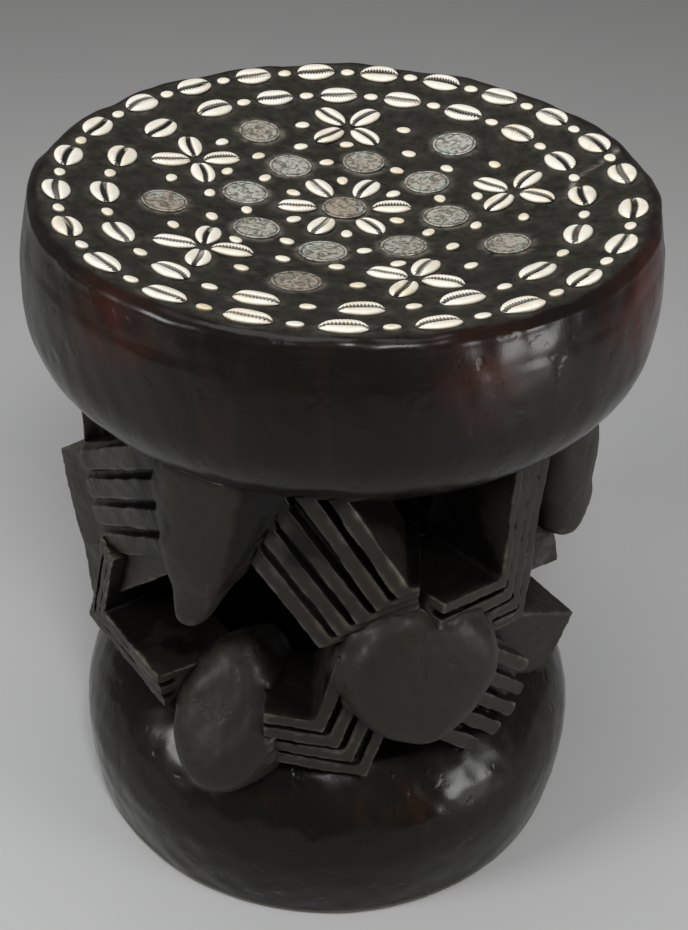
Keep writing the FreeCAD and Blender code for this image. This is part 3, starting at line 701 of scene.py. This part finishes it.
# %% The tooth's ridge
# The ridge's bearing in degrees, its place along the wall at the seat in mm, its lean, how steeply the flats
# fall away on either side, and the most they fall in mm.
RIDGE_BEARING, RIDGE_SIDE, RIDGE_LEAN, LEFT_FALL, RIGHT_FALL, RIDGE_LIMIT = -24, 10, 0.145, 0.04, 0.17, 4


def ridge_depth(mesh, half):
    """How far, in mm, the tooth's flats fall away from its ridge. half is -1 at the back of the stool."""
    turn = math.radians(RIDGE_BEARING)
    out = half * np.array([math.sin(turn), -math.cos(turn), 0])
    along = half * np.array([math.cos(turn), math.sin(turn), 0])
    places = vertex_values(mesh, "co") / MM
    side = places @ along - RIDGE_SIDE + RIDGE_LEAN * (SEAT_UNDERSIDE - places[:, 2])
    fall = np.where(side > 0, RIGHT_FALL * side, -LEFT_FALL * side)
    return np.minimum(fall, RIDGE_LIMIT) * np.clip(2 * vertex_values(mesh, "normal") @ out, 0, 1)

# %% Carve the wall
THIN_VOXEL, FINE_VOXEL, COARSE_VOXEL = 0.85 * MM, 1.25 * MM, 1.7 * MM
LEG_PASSES, BODY_PASSES = 5, 8
WALL_SWELL, WALL_DEPTH, WALL_FLAT, WALL_FLAT_DEPTH = 30, 0.9, 9, 0.3
WALL_SEED, FLAT_SEED = 31, 61
WALL_BEND = 0.14 * MM
CARVED_DULLNESS = 0.5
face_counts = {}
for number, node in enumerate(wood_nodes):
    if node in ("seat", "base"):
        continue
    legs = node.endswith("legs")
    voxel = THIN_VOXEL if node.endswith("low_left_legs") else FINE_VOXEL if legs else COARSE_VOXEL
    mesh = softened(rooted_mesh(node), voxel, LEG_PASSES if legs else BODY_PASSES)
    places = vertex_values(mesh, "co")
    depth = WALL_DEPTH * swells(places, WALL_SEED + number, WALL_SWELL)
    depth = depth + WALL_FLAT_DEPTH * swells(places, FLAT_SEED + number, WALL_FLAT)
    if node.endswith("left_hanging_body"):
        depth += ridge_depth(mesh, -1 if node.startswith("back") else 1)
    press_in(mesh, MM * depth)
    store(mesh, "carved", np.full(len(places), CARVED_DULLNESS))
    store_wear_and_shade(mesh, WALL_BEND * (voxel / FINE_VOXEL) ** 2, shut_in(mesh))
    finish_piece("carved_" + node, mesh, hardwood, [node])
    face_counts[node] = len(mesh.polygons)
counts = list(face_counts.values())
print("carvings", len(counts), "most faces", max(counts), "all faces", sum(counts))

# %% [markdown]
# ## A cowrie
# One shell is modelled with care, because copies of it fill the whole seat. It lies mouth up. Two plump lips
# run its length and break into teeth along a dark slit. It is drawn as rows of points across the shell, so
# that a row on a tooth and a row between teeth can reach into the slit by different amounts.

# %% Closed meshes from rows
def grid_mesh(name, rows, values):
    """A closed mesh from rows of points in mm. values maps a stored name to rows of numbers."""
    width = len(rows[0])
    points = [Vector(point) * MM for row in rows for point in row]
    starts = [row * width + step for row in range(len(rows) - 1) for step in range(width - 1)]
    mesh = bpy.data.meshes.new(name)
    mesh.from_pydata(points, [], [(start, start + 1, start + width + 1, start + width) for start in starts])
    for stored_name, numbers in values.items():
        store(mesh, stored_name, [number for row in numbers for number in row])
    shape = bmesh.new()
    shape.from_mesh(mesh)
    bmesh.ops.remove_doubles(shape, verts=shape.verts, dist=0.005 * MM)
    bmesh.ops.holes_fill(shape, edges=shape.edges)
    bmesh.ops.recalc_face_normals(shape, faces=shape.faces)
    shape.to_mesh(mesh)
    shape.free()
    return mesh

# %% Model a cowrie
SHELL_LENGTH, SHELL_WIDTH, SHELL_HEIGHT = 24, 16.5, 2.1
TEETH, ROWS_PER_TOOTH, TOOTHED_SHARE = 11, 4, 0.84
TOOTH_WAVE = (0, 0, 1, 1)
TIP_SHARES = (0.89, 0.94, 0.975, 0.995)
SLIT_HALF, TOOTH_DEPTH, SLIT_FLOOR = 1.2, 1.5, -0.3
PLAIN_LIP_SHARE = 0.35
# Share of the way from slit to edge, share of the height, and blackness of each point of a lip.
LIP = [(0, -0.15, 1), (0.02, 0.5, 0.8), (0.1, 0.8, 0), (0.28, 1, 0), (0.5, 0.97, 0), (0.72, 0.84, 0),
       (0.88, 0.6, 0), (0.97, 0.28, 0), (1, -0.5, 0)]


def cowrie():
    """A cowrie, mouth up, its length along X and the dish at height 0."""
    half_length, half_width = SHELL_LENGTH / 2, SHELL_WIDTH / 2
    toothed = list(np.linspace(-TOOTHED_SHARE, TOOTHED_SHARE, TEETH * ROWS_PER_TOOTH + 1))
    shares = [-share for share in TIP_SHARES[::-1]] + toothed + list(TIP_SHARES)
    rows, mouth, edge = [], [], []
    for number, share in enumerate(shares):
        outer = half_width * math.sqrt(1 - share ** 2) * (1 + 0.09 * share)
        slit_middle = half_width * (0.14 - 0.2 * share ** 2)
        in_teeth = abs(share) <= TOOTHED_SHARE
        wave = TOOTH_WAVE[(number - len(TIP_SHARES)) % ROWS_PER_TOOTH] if in_teeth else 0.5
        row, dark, dirt = [], [], []
        for side in (-1, 1):
            bite = TOOTH_DEPTH * (wave if side > 0 else 0.5 + PLAIN_LIP_SHARE * (wave - 0.5))
            inner = side * slit_middle + SLIT_HALF * (1 - 0.3 * share ** 2) + bite
            inner = min(inner, outer - 0.05)
            height = SHELL_HEIGHT * (1 - abs(share) ** 5) * min(1, (outer - inner) / 4) ** 0.5
            lip = [(share * half_length, side * (inner + (outer - inner) * reach), height * level)
                   for reach, level, _ in LIP]
            order = -1 if side < 0 else 1
            row += lip[::order]
            dark += [black for _, _, black in LIP][::order]
            dirt += [max(0, 1 - level / 0.5) * (reach > 0.5) for reach, level, _ in LIP][::order]
            if side < 0:
                row.append((share * half_length, slit_middle, SLIT_FLOOR))
                dark.append(1)
                dirt.append(0)
        rows.append(row)
        mouth.append(dark)
        edge.append(dirt)
    return grid_mesh("cowrie", rows, {"mouth": mouth, "edge": edge})


shell = cowrie()
print("cowrie faces", len(shell.polygons))

# %% [markdown]
# ## A bead and a coin
# The bead is a low oval button, cut a little wider at one end. The coin has a raised rim, a dirty groove
# inside it, a ring of worn denticles and a blurred field. Both are rings of one outline, each with its own
# size and height.

# %% Model a bead
BEAD_LENGTH, BEAD_WIDTH, BEAD_SEGMENTS = 9, 6.5, 22


def ringed(name, outline, profile, values):
    """A button from rings of one outline. profile holds (share of the outline, height in mm)."""
    rows = [[(share * x, share * y, height) for x, y in outline + outline[:1]] for share, height in profile]
    columns = len(outline) + 1
    return grid_mesh(name, rows, {key: [[number] * columns for number in row] for key, row in values.items()})


bead_outline = [
    (BEAD_LENGTH / 2 * math.cos(turn), BEAD_WIDTH / 2 * math.sin(turn) * (1 + 0.12 * math.cos(turn)))
    for turn in np.linspace(0, 2 * math.pi, BEAD_SEGMENTS, endpoint=False)]
bead_profile = [(1, -1), (1, 0.05), (0.97, 0.35), (0.88, 0.65), (0.7, 0.9), (0.42, 1.05), (0.02, 1.1)]
bead = ringed("bead", bead_outline, bead_profile, {"edge": [0.9, 0.8, 0.25, 0, 0, 0, 0]})
print("bead faces", len(bead.polygons))

# %% Model a coin
COIN_RADIUS, COIN_SEGMENTS, DENTICLES = 12.5, 120, 40
FIELD_RINGS, FIELD_HEIGHT, FIELD_WAVE = 18, 0.24, 4.5
FIELD_RELIEF, DENTICLE_HEIGHT = 0.2, 0.1
coin_outline = [(COIN_RADIUS * math.cos(turn), COIN_RADIUS * math.sin(turn))
                for turn in np.linspace(0, 2 * math.pi, COIN_SEGMENTS, endpoint=False)]
field = [(share, FIELD_HEIGHT) for share in np.linspace(0.9, 0.02, FIELD_RINGS)]
coin_profile = [(1, -1), (1, 0.2), (0.985, 0.42), (0.955, 0.46), (0.925, 0.42), (0.91, 0.26)] + field
coin_relief = [0, 0.1, 0.8, 1, 0.8, 0.08, 0.08, 0.17] + [0.5] * (len(field) - 2)
coin = ringed("coin", coin_outline, coin_profile, {"relief": coin_relief})
coin_places = vertex_values(coin, "co") / MM
coin_reach = np.hypot(coin_places[:, 0], coin_places[:, 1]) / COIN_RADIUS
coin_bearing = np.arctan2(coin_places[:, 1], coin_places[:, 0])
in_field = np.clip((0.86 - coin_reach) / 0.1, 0, 1)
worn_field = FIELD_RELIEF * (swells(coin_places * MM, 41, FIELD_WAVE) - 0.5) * in_field
on_denticle = (np.cos(DENTICLES * coin_bearing) > 0.2) * (np.abs(coin_reach - 0.87) < 0.035)
coin_places[:, 2] += worn_field + DENTICLE_HEIGHT * on_denticle
coin.vertices.foreach_set("co", (coin_places * MM).astype(np.float32).ravel())
print("coin faces", len(coin.polygons))

# %% [markdown]
# ## Set the inlay
# Well over a hundred pieces follow one rule: a copy on each seat, turned to its heading and sized to its
# pocket. That is what Geometry Nodes are for. The tree takes the seats as points that carry a turn, a size
# and a shade, puts a copy on each, makes the copies real and gives them their finish.

# %% The setting tree
setting = bpy.data.node_groups.new("set_inlay", "GeometryNodeTree")
setting.interface.new_socket("Seats", in_out="INPUT", socket_type="NodeSocketGeometry")
piece_input = setting.interface.new_socket("Piece", in_out="INPUT", socket_type="NodeSocketObject")
finish_input = setting.interface.new_socket("Finish", in_out="INPUT", socket_type="NodeSocketMaterial")
setting.interface.new_socket("Inlay", in_out="OUTPUT", socket_type="NodeSocketGeometry")
given = add(setting, "NodeGroupInput").outputs
turn, grow = [
    add(setting, "GeometryNodeInputNamedAttribute", {"Name": name}, data_type="FLOAT_VECTOR").outputs[0]
    for name in ("turn", "grow")]
rotation = add(setting, "FunctionNodeEulerToRotation", {0: turn}).outputs[0]
model = add(setting, "GeometryNodeObjectInfo", {"Object": given["Piece"]}).outputs["Geometry"]
copies = add(setting, "GeometryNodeInstanceOnPoints", {
    "Points": given["Seats"], "Instance": model, "Rotation": rotation, "Scale": grow}).outputs["Instances"]
real = add(setting, "GeometryNodeRealizeInstances", {"Geometry": copies}).outputs["Geometry"]
dressed = add(setting, "GeometryNodeSetMaterial", {
    "Geometry": real, "Material": given["Finish"]}).outputs["Geometry"]
add(setting, "NodeGroupOutput", {"Inlay": dressed})
print("setting tree", len(setting.nodes), "nodes")

# %% Turn and size each copy
# Mesh, finish, slot, length and width in mm, and how tightly a piece fills its pocket.
MODELS = {
    "shell": (shell, cowrie_shell, "shell", SHELL_LENGTH, SHELL_WIDTH, 0.95),
    "bead": (bead, bead_shell, "bead", BEAD_LENGTH, BEAD_WIDTH, 0.92),
    "coin": (coin, coin_alloy, "worn_coin", 2 * COIN_RADIUS, 2 * COIN_RADIUS, 1),
}
LEAN, LOOSEST, LOWEST = 2.5, 0.93, 0.85
draw = np.random.default_rng(7)


def seat_points(node, kind, seats):
    """A mesh of points, one on each seat, that carry a turn, a size and a shade."""
    _, _, _, length, width, tight = MODELS[kind]
    middle = sum((seat["place"] for seat in seats), Vector()) / len(seats)
    turns, grows = [], []
    for seat in seats:
        heading = seat["heading"]
        outward = heading.dot(seat["place"] - middle)
        flip = outward < 0 if node.startswith(("rosette", "centre")) else draw.random() < 0.5
        heading = -heading if flip else heading
        axes = Matrix((heading, seat["up"].cross(heading), seat["up"])).transposed()
        lean = Matrix.Rotation(math.radians(draw.normal(0, LEAN)), 3, "Z")
        turns.append(list((axes @ lean).to_euler()))
        fit = tight * draw.uniform(LOOSEST, 1)
        grows.append([seat["length"] / length / MM * fit, seat["width"] / width / MM * fit,
                      draw.uniform(LOWEST, 1)])
    points = bpy.data.meshes.new("seats")
    points.from_pydata([seat["place"] for seat in seats], [], [])
    for name, values in (("turn", turns), ("grow", grows)):
        points.attributes.new(name, "FLOAT_VECTOR", "POINT").data.foreach_set("vector", np.ravel(values))
    store(points, "shade", draw.uniform(0, 1, len(seats)))
    return points

# %% Set every shell, bead and coin
model_objects = {}
for kind, (mesh, *_) in MODELS.items():
    model_objects[kind] = bpy.data.objects.new(kind + "_model", mesh)
    bpy.context.scene.collection.objects.link(model_objects[kind])

for node, (kind, seats) in inlay_nodes.items():
    _, finish, slot, *_ = MODELS[kind]
    holder = bpy.data.objects.new("seats", seat_points(node, kind, seats))
    bpy.context.scene.collection.objects.link(holder)
    modifier = holder.modifiers.new("setting", "NODES")
    modifier.node_group = setting
    modifier[piece_input.identifier] = model_objects[kind]
    modifier[finish_input.identifier] = finish
    finish_piece("set_" + node, evaluated_mesh(holder), finish, [node])
for model_object in model_objects.values():
    bpy.data.objects.remove(model_object)
print("inlay set on", len(inlay_nodes), "nodes")

# %% [markdown]
# ## Floor and light
# A pale seamless floor and soft lamps, as in a plain studio. One lamp hangs overhead, two stand to the sides
# like windows, and a small high one at the front draws the highlights on the rim and the base.

# %% Floor
FLOOR_REACH = 30


def paper_finish():
    """Pale studio paper, matte, with a tone that drifts a little so that it doesn't look drawn."""
    material, tree, shader, place, _ = new_material("pale_studio_paper")
    drift = add(tree, "ShaderNodeTexNoise", {
        "Vector": place, "Scale": per_mm(240), "Detail": 2}).outputs["Fac"]
    tree.links.new(coats(tree, colour("b0b1b2"), [(drift, "b7b7b7")]), shader.inputs["Base Color"])
    shader.inputs["Roughness"].default_value = 0.85
    return material


floor_mesh = bpy.data.meshes.new("floor")
floor_signs = [(-1, -1), (1, -1), (1, 1), (-1, 1)]
floor_mesh.from_pydata([(x * FLOOR_REACH, y * FLOOR_REACH, 0) for x, y in floor_signs], [], [(0, 1, 2, 3)])
floor_mesh.materials.append(paper_finish())
floor = bpy.data.objects.new("floor", floor_mesh)
bpy.context.scene.collection.objects.link(floor)
print("floor", 2 * FLOOR_REACH, "m wide")

# %% Light
world = bpy.data.worlds.new("soft_studio")
bpy.context.scene.world = world
world.use_nodes = True
world.node_tree.nodes["Background"].inputs["Color"].default_value = colour("dddbd8")
world.node_tree.nodes["Background"].inputs["Strength"].default_value = 0.22
# Place, aim, width in metres and power in watts of each lamp.
LAMPS = {
    "overhead": ((-0.2, 0.1, 2.0), (0, 0, 0.35), 1.0, 8.5),
    "window_left": ((-1.4, -0.75, 0.9), (0, 0, 0.2), 0.55, 16.5),
    "window_right": ((1.36, -0.82, 0.38), (0, 0, 0.15), 0.55, 12.5),
    "high_front": ((0.2, -1.1, 1.75), (0, 0, 0.4), 0.4, 16),
}
for name, (stand, aim, width, watts) in LAMPS.items():
    lamp = bpy.data.lights.new(name, "AREA")
    lamp.energy = watts
    lamp.size = width
    softbox = bpy.data.objects.new(name, lamp)
    softbox.location = stand
    softbox.rotation_euler = (Vector(aim) - Vector(stand)).to_track_quat("-Z", "Y").to_euler()
    bpy.context.scene.collection.objects.link(softbox)
print("lamps", list(LAMPS))

# %% [markdown]
# ## Camera
# The camera stands where the photographer stood: above the seat, looking down at about 37 degrees, turned a
# little round its own axis. The lens shift puts its axis where it falls in the picture.

# %% Camera
CAMERA_ELEVATION, CAMERA_ROLL = math.radians(36.61), math.radians(2.09)
CAMERA_DISTANCE, CAMERA_TARGET = 0.8556, Vector((0, 0, 0.2327))
PHOTO_WIDTH, PHOTO_HEIGHT, FOCAL_PIXELS = 688, 930, 1400
LENS_AXIS_X, LENS_AXIS_Y = 335.2, 459.8
SENSOR = 36
lens = bpy.data.cameras.new("photographer")
lens.sensor_width = SENSOR
lens.lens = FOCAL_PIXELS / PHOTO_HEIGHT * SENSOR
lens.shift_x = (PHOTO_WIDTH / 2 - LENS_AXIS_X) / PHOTO_HEIGHT
lens.shift_y = (LENS_AXIS_Y - PHOTO_HEIGHT / 2) / PHOTO_HEIGHT
camera = bpy.data.objects.new("photographer", lens)
tilt = Matrix.Rotation(math.pi / 2 - CAMERA_ELEVATION, 4, "X")
roll = Matrix.Rotation(CAMERA_ROLL, 4, "Z")
backwards = Vector((0, -math.cos(CAMERA_ELEVATION), math.sin(CAMERA_ELEVATION)))
camera.matrix_world = Matrix.Translation(CAMERA_TARGET + backwards * CAMERA_DISTANCE) @ tilt @ roll
bpy.context.scene.collection.objects.link(camera)
bpy.context.scene.camera = camera
bpy.context.scene.view_settings.view_transform = "Standard"
print("lens", round(lens.lens, 1), "mm")
